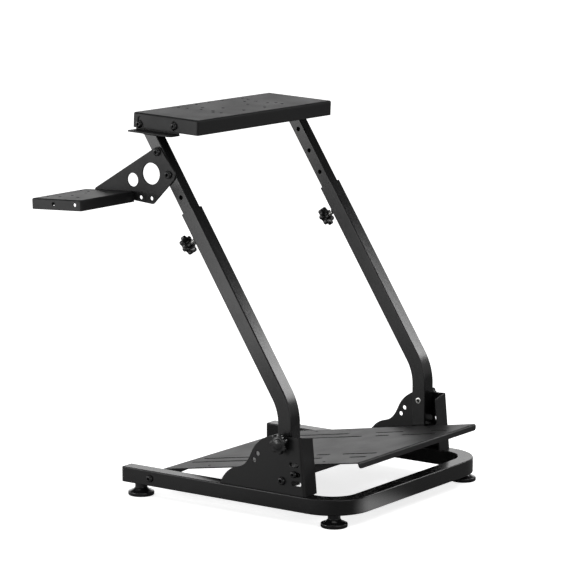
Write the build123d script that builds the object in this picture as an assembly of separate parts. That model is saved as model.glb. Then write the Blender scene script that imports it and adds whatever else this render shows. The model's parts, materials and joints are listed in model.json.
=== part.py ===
from build123d import *
import os
from math import atan2, cos, degrees, hypot, radians, sin

# A folding stand for a steering wheel, pedals and a gear shifter.
# Millimetres. X to the driver's right, Y forward, Z up. While the pieces are made, X is 0 in the
# middle of the base, Y is 0 at the base's rear end and Z is 0 on the floor. At the end everything is
# moved so that the origin is on the floor below the middle of the whole stand.

# Sheet, tubes and gaps that several pieces share
SHEET = 2.0             # pedal plate, wheel deck and shifter tray
HEAVY_SHEET = 3.0       # gussets, deck brackets and shifter plate
TUBE_CORNER = 2.0       # outside corner radius of every square tube
SLIP = 0.3              # gap round a stud in its hole
RUNNING = 0.08          # radial gap round the pivot bolts

# Base: one square tube bent to a U, with plugged rear ends, on four levelling feet
BASE_WIDTH = 500.0
BASE_LENGTH = 512.0
BASE_TUBE = 30.0
BASE_WALL = 1.5
BASE_BEND = 65.0        # centre-line radius of the two front corners
CAP_FLANGE = 4.0
CAP_PLUG = 14.0
FOOT_HEIGHT = 23.0
FOOT_DIAMETER = 50.0
FOOT_RIM = 8.0
FOOT_NECK = 23.5
FOOT_STUD = 10.0
FOOT_STUD_LENGTH = 14.0
REAR_FOOT_Y = 35.0
FRONT_FOOT_ANGLE = 38.0  # place on the front corner, degrees round from the arm's side

# Fold: a pivot bolt low in each gusset and a lock knob above it
PIVOT_Y = 373.8
PIVOT_RISE = 24.0       # pivot above the base tube's top
PIVOT_BOLT = 10.0
PIVOT_HEAD = 16.0
PIVOT_HEAD_HEIGHT = 5.5
PIVOT_NUT = 17.0
PIVOT_NUT_HEIGHT = 8.0
PIVOT_NUT_GAP = 0.5
LOCK_RADIUS = 70.5      # lock hole above the pivot
LOCK_HOLE = 9.0
LOCK_STUD = 8.0
FOLD_STEPS = (51.5, 64.0)  # folded positions, degrees from upright

# Gussets: heavy sheet standing on the arms, with a front flange folded inwards
GUSSET_INSET = 2.0      # outer face in from the arm's outer face
GUSSET_TAIL = 141.0     # rear end behind the pivot
GUSSET_NOSE = 51.5      # front edge ahead of the pivot, at the arm
GUSSET_LEAN = 10.5      # how much the front edge leans back to its top
GUSSET_HEIGHT = 109.0
GUSSET_CREST = 5.0      # drop of the top edge to where its curve starts
GUSSET_CREST_BACK = 30.0
GUSSET_FLANGE = 38.5
GUSSET_BEVEL = 7.0
GUSSET_FOLD = 2.5       # inside radius of the folded front edge
PEDAL_SLOT_LENGTH = 21.5
PEDAL_SLOT_WIDTH = 9.0
PEDAL_SLOT_AHEAD = 3.5  # slots' middles ahead of the brace's bolts

# Lower uprights: square tube, upright at the pivot, then bent back
UPRIGHT_TUBE = 30.0
UPRIGHT_WALL = 1.5
UPRIGHT_GAP = 4.7       # between a tube and its gusset
UPRIGHT_END = 12.0      # tube below the pivot
BEND_RISE = 131.5       # bend above the pivot
UPRIGHT_BEND = 100.0
LEAN = 32.7             # degrees back from vertical
LOWER_LENGTH = 412.5    # from the bend to the open top end

# Height clamps: a star knob on a stud in the rear face of each lower upright
KNOB_DROP = 50.5        # stud below the tube's top end
KNOB_STANDOFF = 18.0    # knob's collar out from the tube
KNOB_DIAMETER = 38.0
KNOB_HEIGHT = 9.5
KNOB_LOBES = 7
KNOB_NOTCH = 10.5       # diameter of the hollow between two lobes
KNOB_COLLAR = 16.0
KNOB_COLLAR_HEIGHT = 4.5
KNOB_EDGE = 2.2         # rounding of the lobes' edges
KNOB_HUB = 18.0         # raised middle of the knob's face
KNOB_HUB_HEIGHT = 2.5
STUD = 8.0
WELD_NUT = 15.0
WELD_NUT_HEIGHT = 6.0

# Upper tubes: slide in the lower ones
UPPER_TUBE = 25.0
UPPER_WALL = 1.5
UPPER_SHOW = 162.5      # along the axis, above the lower tube's end
UPPER_INSERT = 170.0
TUBE_HOLE = 8.5
TUBE_HOLE_FIRST = 36.8  # first hole below the top end
TUBE_HOLE_PITCH = 48.5
TUBE_HOLE_COUNT = 3

# Wheel deck: a sheet pan, open below, on two angle brackets, both tilted forward a little
HEAD_TILT = 2.5         # degrees, front down
DECK_WIDTH = 434.0
DECK_DEPTH = 153.0
DECK_HEIGHT = 28.6
DECK_BEND = 3.5
DECK_AHEAD = 19.6       # deck's middle ahead of the tube's top
DECK_LIFT = 3.0         # deck's lower edge above the bracket's seat
BRACKET_LENGTH = 100.0
BRACKET_BACK = 0.5      # bracket's middle behind the tube's top
BRACKET_OVERHANG = 2.0
BRACKET_HEADROOM = 6.0  # flange's top below the deck's top
BRACKET_CHAMFER = 6.0
DECK_BOLT_SPACING = 82.0
DECK_BOLT_RISE = 7.0    # rear bolt above the deck's lower edge
DECK_BOLT_STEP = 5.0    # front bolt above the rear one
DECK_BOLT_HOLE = 6.6
DECK_SLOT_WIDTH = 8.5
DECK_SLOT_TRAVEL = 10.0
DECK_HOLE = 7.0
DECK_WIDE_X, DECK_WIDE_Y = 98.5, 40.5
DECK_INNER_X, DECK_INNER_Y = 88.5, 14.0
# Other wheel holes, from the deck's middle, each with its mirror image
DECK_OTHER_HOLES = ((102, 24.5), (34, 46), (40.5, 1.5), (68, -26.5), (102.5, -57.5), (41.5, -61.5))
DECK_MIDDLE_HOLE_Y = -62.5

# Shifter: a heavy plate on the right upper tube, with a tray bolted to its outer face
PLATE_TOP_R = 9.5
PLATE_FRONT_R = 15.0
PLATE_CORNER_R = 5.0
PLATE_TOE_BACK = 38.5   # lower corner behind the second tube hole
PLATE_TIP_BACK = 171.3
PLATE_TOE_DROP = 53.0
PLATE_TIP_DROP = 41.4
BIG_HOLE, BIG_HOLE_BACK, BIG_HOLE_RISE = 41.0, 41.4, -1.0
SMALL_HOLE, SMALL_HOLE_BACK, SMALL_HOLE_RISE = 26.0, 85.1, -15.8
TRAY_BOLT_HOLE = 8.0
TRAY_BOLT_DROP = 47.6
TRAY_BOLT_BACKS = (40.6, 65.8)
TRAY_WIDTH = 158.0
TRAY_LENGTH = 118.0
TRAY_DEPTH = 20.3
TRAY_BEND = 3.0
TRAY_BACK = 139.9
TRAY_DROP = 39.2
TRAY_TILT = 2.5         # degrees, front up
TRAY_HOLE = 6.5
TRAY_HOLE_X, TRAY_HOLE_Y = 41.5, 21.5
TRAY_OTHER_HOLES = ((19.5, -10), (47.5, -46))  # each with its mirror image
TRAY_SIDE_HOLE = 7.0
TRAY_SIDE_SPACING = 50.5
TRAY_SIDE_AHEAD = 44.0
TRAY_SIDE_DROP = 9.2

# Pedal plate: pivots on two bolts low in the arms, and rests on a cross brace between the gussets
PEDAL_PIVOT_Y = 67.3
PEDAL_SLOPE = 9.35      # degrees
PEDAL_STEP = 2.95       # degrees between the gussets' three slots
PEDAL_LENGTH = 456.0
PEDAL_TOP = 9.8         # plate's top above the pivot
PEDAL_BACK = 4.0        # plate's rear edge behind the pivot
PEDAL_LIP = 12.0
PEDAL_FOLD = 2.0        # inside radius of the folded lip
PEDAL_CORNER = 8.0
PEDAL_EAR_LENGTH = 60.0
PEDAL_EAR_R = 8.5
BRACE_TUBE = 16.0
BRACE_CLEARANCE = 2.4   # between the brace and the uprights' front faces
BRACE_WALL = 1.5
SPACER = 16.0
SPACER_LENGTH = 19.0    # between an arm and the plate's edge
PEDAL_SLOT = 8.0        # width of the long slots
PEDAL_HOLE = 7.0
# Long slots, from the plate's rear edge, in an inner and an outer row on each side
INNER_ROW_X = 100.0
OUTER_ROW_X = 138.0
INNER_SLOTS = ((22, 258), (290, 322), (350, 428))
OUTER_SLOTS = ((22, 202), (264, 330), (392, 430))
PEDAL_HOLE_IN = 23.0    # in from the plate's sides
PEDAL_HOLE_YS = (94.0, 362.0)

# Places worked out from the sizes above
ARM_X = BASE_WIDTH / 2 - BASE_TUBE / 2
BASE_AXIS_Z = FOOT_HEIGHT + BASE_TUBE / 2
BASE_TOP = FOOT_HEIGHT + BASE_TUBE
PIVOT_Z = BASE_TOP + PIVOT_RISE
GUSSET_OUT = BASE_WIDTH / 2 - GUSSET_INSET
GUSSET_IN = GUSSET_OUT - HEAVY_SHEET
UPRIGHT_X = GUSSET_IN - UPRIGHT_GAP - UPRIGHT_TUBE / 2
BACK, UP = sin(radians(LEAN)), cos(radians(LEAN))
LOWER_END_Y = PIVOT_Y - LOWER_LENGTH * BACK
LOWER_END_Z = PIVOT_Z + BEND_RISE + LOWER_LENGTH * UP
UPPER_END_Y = LOWER_END_Y - UPPER_SHOW * BACK
UPPER_END_Z = LOWER_END_Z + UPPER_SHOW * UP
PLATE_IN = UPRIGHT_X + UPPER_TUBE / 2
PLATE_OUT = PLATE_IN + HEAVY_SHEET
DECK_TOP = HEAVY_SHEET + DECK_LIFT + DECK_HEIGHT  # above the tubes' top ends
PEDAL_WIDTH = BASE_WIDTH - 2 * BASE_TUBE - 2 * SPACER_LENGTH
FRONT_FOOT_X = ARM_X - BASE_BEND * (1 - cos(radians(FRONT_FOOT_ANGLE)))
FRONT_FOOT_Y = BASE_LENGTH - BASE_TUBE / 2 - BASE_BEND * (1 - sin(radians(FRONT_FOOT_ANGLE)))
FOOT_PLACES = {"rear": (ARM_X, REAR_FOOT_Y), "front": (FRONT_FOOT_X, FRONT_FOOT_Y)}

# Frames: along a lower tube from its top end, on the cut tops of the upper tubes, and along the pedal
# plate from its pivot
TUBE_FRAME = Plane(origin=(0, LOWER_END_Y, LOWER_END_Z), x_dir=(1, 0, 0), z_dir=(0, -BACK, UP))
HEAD_FRAME = Plane(
    origin=(0, UPPER_END_Y, UPPER_END_Z),
    x_dir=(1, 0, 0),
    z_dir=(0, sin(radians(HEAD_TILT)), cos(radians(HEAD_TILT))),
)
PEDAL_FRAME = Plane(
    origin=(0, PEDAL_PIVOT_Y, BASE_AXIS_Z),
    x_dir=(1, 0, 0),
    z_dir=(0, -sin(radians(PEDAL_SLOPE)), cos(radians(PEDAL_SLOPE))),
)
BRACE_Z = PEDAL_TOP - SHEET - BRACE_TUBE / 2
SLOPE_COS, SLOPE_SIN = cos(radians(PEDAL_SLOPE)), sin(radians(PEDAL_SLOPE))
BRACE_Y = PIVOT_Y + UPRIGHT_TUBE / 2 + BRACE_CLEARANCE + BRACE_TUBE / 2 * (SLOPE_COS + SLOPE_SIN)
BRACE_AHEAD = (BRACE_Y - PEDAL_PIVOT_Y + BRACE_Z * SLOPE_SIN) / SLOPE_COS


def upper_hole(number):
    """Place of a hole of the upper tubes, as (y, z), counted from 0 at the top end."""
    drop = TUBE_HOLE_FIRST + number * TUBE_HOLE_PITCH
    return UPPER_END_Y + drop * BACK, UPPER_END_Z - drop * UP


def tube_section(size, wall):
    """Square tube section with rounded corners."""
    outer = RectangleRounded(size, size, TUBE_CORNER)
    inner = RectangleRounded(size - 2 * wall, size - 2 * wall, max(TUBE_CORNER - wall, 0.2))
    return outer - inner


def cross_bar(x0, x1, y, z, radius):
    """Round bar along X from x0 to x1."""
    return Pos((x0 + x1) / 2, y, z) * Rot(0, 90, 0) * Cylinder(radius, x1 - x0)


def sheet_pan(width, depth, height, bend):
    """Folded pan with its top at z = 0, open below."""
    outer = Pos(0, 0, -height / 2) * Box(width, depth, height)
    outer = fillet(outer.edges().filter_by(Axis.Z) + outer.faces().sort_by(Axis.Z)[-1].edges(), bend)
    inner = Pos(0, 0, -SHEET - height / 2) * Box(width - 2 * SHEET, depth - 2 * SHEET, height)
    inner_top = inner.faces().sort_by(Axis.Z)[-1].edges()
    inner = fillet(inner.edges().filter_by(Axis.Z) + inner_top, bend - SHEET)
    return outer - inner


def base_frame():
    """U-shaped tube with the feet's holes in its underside."""
    front = BASE_LENGTH - BASE_TUBE / 2
    corners = [(-ARM_X, CAP_FLANGE), (-ARM_X, front), (ARM_X, front), (ARM_X, CAP_FLANGE)]
    path = FilletPolyline(*[(x, y, BASE_AXIS_Z) for x, y in corners], radius=BASE_BEND)
    start = Plane(origin=(-ARM_X, CAP_FLANGE, BASE_AXIS_Z), x_dir=(1, 0, 0), z_dir=(0, 1, 0))
    frame = sweep(start * tube_section(BASE_TUBE, BASE_WALL), path=path)
    hole = Cylinder(FOOT_STUD / 2 + SLIP, 4 * BASE_WALL)
    for x, y in FOOT_PLACES.values():
        for side in (1, -1):
            frame -= Pos(side * x, y, FOOT_HEIGHT + BASE_WALL / 2) * hole
    return frame


def end_cap():
    """Plastic plug in the rear end of the right arm."""
    end = Plane(origin=(ARM_X, 0, BASE_AXIS_Z), x_dir=(1, 0, 0), z_dir=(0, 1, 0))
    plug = BASE_TUBE - 2 * BASE_WALL - 2 * SLIP
    flange = extrude(end * RectangleRounded(BASE_TUBE, BASE_TUBE, TUBE_CORNER), -CAP_FLANGE, dir=(0, -1, 0))
    flange = fillet(flange.faces().sort_by(Axis.Y)[0].edges(), CAP_FLANGE / 3)
    core = extrude(end * RectangleRounded(plug, plug, TUBE_CORNER / 2), CAP_FLANGE + CAP_PLUG, dir=(0, 1, 0))
    return flange + core


def foot():
    """Levelling foot with a flared pad and a stud that goes up into the tube."""
    rim_r, neck_r, stud_r = FOOT_DIAMETER / 2, FOOT_NECK / 2, FOOT_STUD / 2
    stud_top = FOOT_HEIGHT + FOOT_STUD_LENGTH
    neck_z = (FOOT_RIM + FOOT_HEIGHT) / 2
    edge = FOOT_RIM / 4
    bulge = edge * (1 - sin(radians(45)))
    top = rim_r - edge
    flare = ((top + 2 * neck_r) / 3, (FOOT_RIM + 2 * neck_z) / 3 - FOOT_RIM / 5)
    side = Line((0, 0), (top, 0))
    side += ThreePointArc((top, 0), (rim_r - bulge, bulge), (rim_r, edge))
    side += Line((rim_r, edge), (rim_r, FOOT_RIM - edge))
    side += ThreePointArc((rim_r, FOOT_RIM - edge), (rim_r - bulge, FOOT_RIM - bulge), (top, FOOT_RIM))
    side += ThreePointArc((top, FOOT_RIM), flare, (neck_r, neck_z))
    side += Polyline((neck_r, neck_z), (neck_r, FOOT_HEIGHT), (stud_r, FOOT_HEIGHT), (stud_r, stud_top), (0, stud_top))
    side += Line((0, stud_top), (0, 0))
    return revolve(Plane.XZ * make_face(side), Axis.Z)


def gusset_outline():
    """Side view of a gusset: a tail that sweeps up in an S to a level crest."""
    tail = (PIVOT_Y - GUSSET_TAIL, BASE_TOP)
    nose = (PIVOT_Y + GUSSET_NOSE, BASE_TOP)
    brow = (PIVOT_Y + GUSSET_NOSE - GUSSET_LEAN, BASE_TOP + GUSSET_HEIGHT)
    crest = (PIVOT_Y - GUSSET_CREST_BACK, BASE_TOP + GUSSET_HEIGHT - GUSSET_CREST)
    reach, rise = crest[0] - tail[0], crest[1] - tail[1]

    def along(share_y, share_z):
        return tail[0] + share_y * reach, tail[1] + share_z * rise

    heel, waist, shoulder = along(0.28, 0.33), along(0.585, 0.535), along(0.70, 0.765)
    edge = Spline(tail, along(0.096, 0.185), heel, along(0.45, 0.39), waist, shoulder, along(0.84, 0.91), crest)
    edge += Polyline(crest, brow, nose, tail)
    return make_face(edge)


def gusset():
    """Right gusset, with lock and pivot holes and the three pedal slots."""
    lean = atan2(GUSSET_LEAN, GUSSET_HEIGHT)
    corner = (GUSSET_OUT, PIVOT_Y + GUSSET_NOSE, BASE_TOP)
    bend = Plane(origin=corner, x_dir=(-1, 0, 0), z_dir=(0, -sin(lean), cos(lean)))
    reach, outside = 2 * (GUSSET_TAIL + GUSSET_NOSE), GUSSET_FOLD + HEAVY_SHEET
    section = make_face(Polyline(
        (0, 0), (0, reach), (HEAVY_SHEET, reach), (HEAVY_SHEET, HEAVY_SHEET),
        (GUSSET_FLANGE, HEAVY_SHEET), (GUSSET_FLANGE, 0), (0, 0),
    ))
    section = fillet(section.vertices().sort_by_distance((0, 0))[0], outside)
    section = fillet(section.vertices().sort_by_distance((HEAVY_SHEET, HEAVY_SHEET))[0], GUSSET_FOLD)
    sheet = extrude(bend * section, 2 * GUSSET_HEIGHT, both=True)
    side_view = Plane.YZ.offset(GUSSET_OUT - GUSSET_FLANGE) * gusset_outline()
    plate = sheet & extrude(side_view, GUSSET_FLANGE)
    front = Plane(origin=corner, x_dir=(-1, 0, 0), z_dir=(0, cos(lean), sin(lean)))
    height = hypot(GUSSET_LEAN, GUSSET_HEIGHT)
    bevel = Polyline(
        (outside, height), (GUSSET_FLANGE, height - GUSSET_BEVEL), (2 * GUSSET_FLANGE, height - GUSSET_BEVEL),
        (2 * GUSSET_FLANGE, 2 * height), (outside, 2 * height), (outside, height),
    )
    plate -= extrude(front * make_face(bevel), 2 * HEAVY_SHEET, both=True)
    plate -= cross_bar(GUSSET_IN - 1, GUSSET_OUT + 1, PIVOT_Y, PIVOT_Z, PIVOT_BOLT / 2 + RUNNING)
    for turn in (0, *FOLD_STEPS):
        y = PIVOT_Y - LOCK_RADIUS * sin(radians(turn))
        z = PIVOT_Z + LOCK_RADIUS * cos(radians(turn))
        plate -= cross_bar(GUSSET_IN - 1, GUSSET_OUT + 1, y, z, LOCK_HOLE / 2)
    reach, rest = hypot(BRACE_AHEAD, BRACE_Z), PEDAL_SLOPE + degrees(atan2(BRACE_Z, BRACE_AHEAD))
    for step in (-1, 0, 1):
        turn = radians(rest + step * PEDAL_STEP)
        centre = (PEDAL_PIVOT_Y + reach * cos(turn), BASE_AXIS_Z + reach * sin(turn))
        slot = Pos(PEDAL_SLOT_AHEAD, 0) * Pos(*centre) * SlotOverall(PEDAL_SLOT_LENGTH, PEDAL_SLOT_WIDTH)
        plate -= extrude(Plane.YZ.offset(GUSSET_IN - 1) * slot, HEAVY_SHEET + 2)
    return plate


def pivot_bolt():
    """Right fold bolt: domed head outside the gusset, nut inside the upright."""
    inner = UPRIGHT_X - UPRIGHT_TUBE / 2 - PIVOT_NUT_GAP
    head = cross_bar(GUSSET_OUT, GUSSET_OUT + PIVOT_HEAD_HEIGHT, PIVOT_Y, PIVOT_Z, PIVOT_HEAD / 2)
    head = fillet(head.edges().sort_by(Axis.X)[-1], PIVOT_HEAD_HEIGHT / 2)
    shank = cross_bar(inner - PIVOT_NUT_HEIGHT, GUSSET_OUT, PIVOT_Y, PIVOT_Z, PIVOT_BOLT / 2)
    nut_plane = Plane(origin=(inner, PIVOT_Y, PIVOT_Z), x_dir=(0, 1, 0), z_dir=(-1, 0, 0))
    nut = extrude(nut_plane * RegularPolygon(PIVOT_NUT / 2, 6, major_radius=False), PIVOT_NUT_HEIGHT)
    return head + shank + nut


def star_knob():
    """Star knob on its collar, collar's foot at z = 0."""
    star = Circle(KNOB_DIAMETER / 2)
    star -= PolarLocations(KNOB_DIAMETER / 2 + KNOB_NOTCH / 8, KNOB_LOBES) * Circle(KNOB_NOTCH / 2)
    star = fillet(star.vertices(), KNOB_NOTCH / 4)
    head = extrude(Pos(0, 0, KNOB_COLLAR_HEIGHT) * star, KNOB_HEIGHT)
    head = fillet(head.faces().sort_by(Axis.Z)[-1].edges() + head.faces().sort_by(Axis.Z)[0].edges(), KNOB_EDGE)
    collar = Pos(0, 0, KNOB_COLLAR_HEIGHT / 2) * Cylinder(KNOB_COLLAR / 2, KNOB_COLLAR_HEIGHT)
    hub = Pos(0, 0, KNOB_COLLAR_HEIGHT + KNOB_HEIGHT) * Cylinder(KNOB_HUB / 2, 2 * KNOB_HUB_HEIGHT)
    hub = fillet(hub.edges().sort_by(Axis.Z)[-1], 0.8 * KNOB_HUB_HEIGHT)
    return head + collar + hub


def lock_knob():
    """Right lock knob on the gusset, its stud in the upper lock hole."""
    seat = Plane(origin=(GUSSET_OUT, PIVOT_Y, PIVOT_Z + LOCK_RADIUS), x_dir=(0, 1, 0), z_dir=(1, 0, 0))
    stud = Pos(0, 0, -HEAVY_SHEET / 2) * Cylinder(LOCK_STUD / 2, HEAVY_SHEET)
    return seat * (star_knob() + stud)


def lower_upright():
    """Right lower upright, bent back above the gusset."""
    foot_z = PIVOT_Z - UPRIGHT_END
    route = [(PIVOT_Y, foot_z), (PIVOT_Y, PIVOT_Z + BEND_RISE), (LOWER_END_Y, LOWER_END_Z)]
    path = FilletPolyline(*[(UPRIGHT_X, y, z) for y, z in route], radius=UPRIGHT_BEND)
    start = Plane(origin=(UPRIGHT_X, PIVOT_Y, foot_z), x_dir=(1, 0, 0), z_dir=(0, 0, 1))
    tube = sweep(start * tube_section(UPRIGHT_TUBE, UPRIGHT_WALL), path=path)
    side = UPRIGHT_X - UPRIGHT_TUBE, UPRIGHT_X + UPRIGHT_TUBE
    tube -= cross_bar(*side, PIVOT_Y, PIVOT_Z, PIVOT_BOLT / 2 + RUNNING)
    tube -= cross_bar(*side, PIVOT_Y, PIVOT_Z + LOCK_RADIUS, LOCK_HOLE / 2)
    nut_spot = Pos(UPRIGHT_X, -UPRIGHT_TUBE / 2, -KNOB_DROP) * Rot(90, 0, 0)
    tube += TUBE_FRAME * nut_spot * Pos(0, 0, WELD_NUT_HEIGHT / 2) * Cylinder(WELD_NUT / 2, WELD_NUT_HEIGHT)
    depth = 4 * UPRIGHT_WALL + 2 * WELD_NUT_HEIGHT
    tube -= TUBE_FRAME * nut_spot * Cylinder(STUD / 2 + SLIP, depth)
    return tube


def height_stud():
    """Bright stud of the right height clamp, its tip at the upper tube."""
    tip, end = UPPER_TUBE / 2 + SLIP, UPRIGHT_TUBE / 2 + KNOB_STANDOFF
    spot = Pos(UPRIGHT_X, -(tip + end) / 2, -KNOB_DROP) * Rot(90, 0, 0)
    return TUBE_FRAME * spot * Cylinder(STUD / 2, end - tip)


def height_knob():
    """Star knob of the right height clamp."""
    spot = Pos(UPRIGHT_X, -UPRIGHT_TUBE / 2 - KNOB_STANDOFF, -KNOB_DROP) * Rot(90, 0, 0)
    return TUBE_FRAME * spot * star_knob()


def upper_tube():
    """Right upper tube, its top cut to the brackets' tilt, with its row of side holes."""
    spare = UPPER_TUBE
    start = TUBE_FRAME * Pos(UPRIGHT_X, 0, -UPPER_INSERT)
    tube = extrude(start * tube_section(UPPER_TUBE, UPPER_WALL), UPPER_INSERT + UPPER_SHOW + spare)
    tube = split(tube, bisect_by=HEAD_FRAME, keep=Keep.BOTTOM)
    side = UPRIGHT_X - UPPER_TUBE, UPRIGHT_X + UPPER_TUBE
    for number in range(TUBE_HOLE_COUNT):
        tube -= cross_bar(*side, *upper_hole(number), TUBE_HOLE / 2)
    return tube


def deck_bracket():
    """Right angle bracket: a seat on the tube's top and a flange inside the deck's side."""
    face = DECK_WIDTH / 2 - SHEET
    inner = min(face - HEAVY_SHEET, UPRIGHT_X - UPPER_TUBE / 2 - BRACKET_OVERHANG)
    outer = max(face, PLATE_IN + BRACKET_OVERHANG)
    seat = Pos((inner + outer) / 2, -BRACKET_BACK, HEAVY_SHEET / 2) * Box(outer - inner, BRACKET_LENGTH, HEAVY_SHEET)
    corners = seat.edges().filter_by(Axis.Z).group_by(Axis.X)[-1].sort_by(Axis.Y)
    seat = chamfer(corners[-1], BRACKET_CHAMFER)
    rise = DECK_TOP - BRACKET_HEADROOM
    flange = Pos(face - HEAVY_SHEET / 2, -BRACKET_BACK, rise / 2) * Box(HEAVY_SHEET, BRACKET_LENGTH, rise)
    bracket = seat + flange
    bolt_z = HEAVY_SHEET + DECK_LIFT + DECK_BOLT_RISE
    for end, lift in ((-1, 0), (1, DECK_BOLT_STEP)):
        y = -BRACKET_BACK + end * DECK_BOLT_SPACING / 2
        bracket -= cross_bar(face - 2 * HEAVY_SHEET, face + 1, y, bolt_z + lift, DECK_BOLT_HOLE / 2)
    return HEAD_FRAME * bracket


def deck_holes():
    """Places of the wheel holes, from the deck's middle."""
    holes = [(0, DECK_MIDDLE_HOLE_Y)]
    mirrored = [(DECK_WIDE_X, DECK_WIDE_Y), (DECK_WIDE_X, -DECK_WIDE_Y)]
    mirrored += [(DECK_INNER_X, DECK_INNER_Y), (DECK_INNER_X, -DECK_INNER_Y)]
    for x, y in [*mirrored, *DECK_OTHER_HOLES]:
        holes += [(x, y), (-x, y)]
    return holes


def wheel_deck():
    """Pan that carries the wheel, with bolt slots in its sides."""
    pan = sheet_pan(DECK_WIDTH, DECK_DEPTH, DECK_HEIGHT, DECK_BEND)
    for x, y in deck_holes():
        pan -= Pos(x, y, -SHEET / 2) * Cylinder(DECK_HOLE / 2, 2 * SHEET)
    middle = -BRACKET_BACK - DECK_AHEAD
    slot_z = DECK_BOLT_RISE - DECK_HEIGHT + DECK_SLOT_TRAVEL / 2
    slot = SlotCenterToCenter(DECK_SLOT_TRAVEL, DECK_SLOT_WIDTH, rotation=90)
    for y in (middle - DECK_BOLT_SPACING / 2, middle + DECK_BOLT_SPACING / 2):
        pan -= extrude(Plane.YZ * Pos(y, slot_z) * slot, DECK_WIDTH, both=True)
    return HEAD_FRAME * Pos(0, DECK_AHEAD, DECK_TOP) * pan


def shifter_plate():
    """Heavy plate on the outer face of the right upper tube."""
    top, front = upper_hole(0), upper_hole(1)
    toe = (front[0] - PLATE_TOE_BACK, front[1] - PLATE_TOE_DROP)
    tip = (front[0] - PLATE_TIP_BACK, front[1] - PLATE_TIP_DROP)
    rounds = [(top, PLATE_TOP_R), (front, PLATE_FRONT_R), (toe, PLATE_CORNER_R), (tip, PLATE_CORNER_R)]
    outline = make_hull([edge for place, r in rounds for edge in (Pos(*place) * Circle(r)).edges()])
    plate = extrude(Plane.YZ.offset(PLATE_IN) * outline, HEAVY_SHEET)
    holes = [
        (BIG_HOLE_BACK, BIG_HOLE_RISE, BIG_HOLE),
        (SMALL_HOLE_BACK, SMALL_HOLE_RISE, SMALL_HOLE),
        (0, 0, TUBE_HOLE),
        (front[0] - top[0], top[1] - front[1], TUBE_HOLE),
    ]
    holes += [(back, -TRAY_BOLT_DROP, TRAY_BOLT_HOLE) for back in TRAY_BOLT_BACKS]
    for back, rise, diameter in holes:
        plate -= cross_bar(PLATE_IN - 1, PLATE_OUT + 1, front[0] - back, front[1] + rise, diameter / 2)
    return plate


def shifter_tray():
    """Pan for the gear shifter, its inner end flat against the shifter plate."""
    tray = sheet_pan(TRAY_WIDTH, TRAY_LENGTH, TRAY_DEPTH, TRAY_BEND)
    for x, y in ((TRAY_HOLE_X, TRAY_HOLE_Y), (TRAY_HOLE_X, -TRAY_HOLE_Y), *TRAY_OTHER_HOLES):
        for side in (-1, 1):
            tray -= Pos(side * x, y) * Cylinder(TRAY_HOLE / 2, 4 * SHEET)
    for y in (TRAY_SIDE_AHEAD - TRAY_SIDE_SPACING, TRAY_SIDE_AHEAD):
        tray -= cross_bar(TRAY_WIDTH / 2 - 3 * SHEET, TRAY_WIDTH / 2 + SHEET, y, -TRAY_SIDE_DROP, TRAY_SIDE_HOLE / 2)
    front = upper_hole(1)
    place = Pos(PLATE_OUT + TRAY_WIDTH / 2, front[0] - TRAY_BACK, front[1] - TRAY_DROP)
    return place * Rot(TRAY_TILT, 0, 0) * tray


def pedal_plate():
    """Sloping sheet for the pedals, with slots, a folded front lip and two rear ears."""
    rear, front = -PEDAL_BACK, PEDAL_LENGTH - PEDAL_BACK
    plate = Pos(0, (rear + front) / 2, PEDAL_TOP - SHEET / 2) * Box(PEDAL_WIDTH, PEDAL_LENGTH, SHEET)
    lip = Pos(0, front - SHEET / 2, PEDAL_TOP - PEDAL_LIP / 2) * Box(PEDAL_WIDTH, SHEET, PEDAL_LIP)
    lip_corners = lip.edges().filter_by(Axis.Y).group_by(Axis.Z)[0]
    plate += fillet(lip_corners, PEDAL_CORNER)
    inside = plate.edges().sort_by_distance((0, front - SHEET, PEDAL_TOP - SHEET))[0]
    plate = fillet(inside, PEDAL_FOLD)
    outside = plate.edges().sort_by_distance((0, front, PEDAL_TOP))[0]
    plate = fillet(outside, PEDAL_FOLD + SHEET)
    rows = [(INNER_ROW_X, span) for span in INNER_SLOTS] + [(OUTER_ROW_X, span) for span in OUTER_SLOTS]
    for x, (start, end) in rows:
        slot = SlotOverall(end - start, PEDAL_SLOT, rotation=90)
        for side in (1, -1):
            place = Pos(side * x, rear + (start + end) / 2, PEDAL_TOP - 2 * SHEET)
            plate -= extrude(place * slot, 3 * SHEET)
    for y in PEDAL_HOLE_YS:
        for side in (1, -1):
            x = side * (PEDAL_WIDTH / 2 - PEDAL_HOLE_IN)
            plate -= Pos(x, rear + y, PEDAL_TOP) * Cylinder(PEDAL_HOLE / 2, 4 * SHEET)
    under = PEDAL_TOP - SHEET / 2
    ear = make_hull([
        *Circle(PEDAL_EAR_R).edges(),
        Line((rear, under), (PEDAL_EAR_LENGTH, under)),
    ])
    right_ear = extrude(Plane.YZ.offset(PEDAL_WIDTH / 2 - SHEET) * ear, SHEET)
    return PEDAL_FRAME * (plate + right_ear + mirror(right_ear, about=Plane.YZ))


def pedal_brace():
    """Square tube under the pedal plate, bolted between the gussets."""
    start = Plane(origin=(-GUSSET_IN, BRACE_AHEAD, BRACE_Z), x_dir=(0, 1, 0), z_dir=(1, 0, 0))
    return PEDAL_FRAME * extrude(start * tube_section(BRACE_TUBE, BRACE_WALL), 2 * GUSSET_IN)


def pedal_spacer():
    """Right sleeve between the arm and the pedal plate's ear, on the pedal pivot."""
    return cross_bar(PEDAL_WIDTH / 2, ARM_X - BASE_TUBE / 2, PEDAL_PIVOT_Y, BASE_AXIS_Z, SPACER / 2)


def both_sides(name, right):
    """A right-hand piece and its mirror image, as two nodes."""
    return {f"{name}_right": right, f"{name}_left": mirror(right, about=Plane.YZ)}


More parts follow.
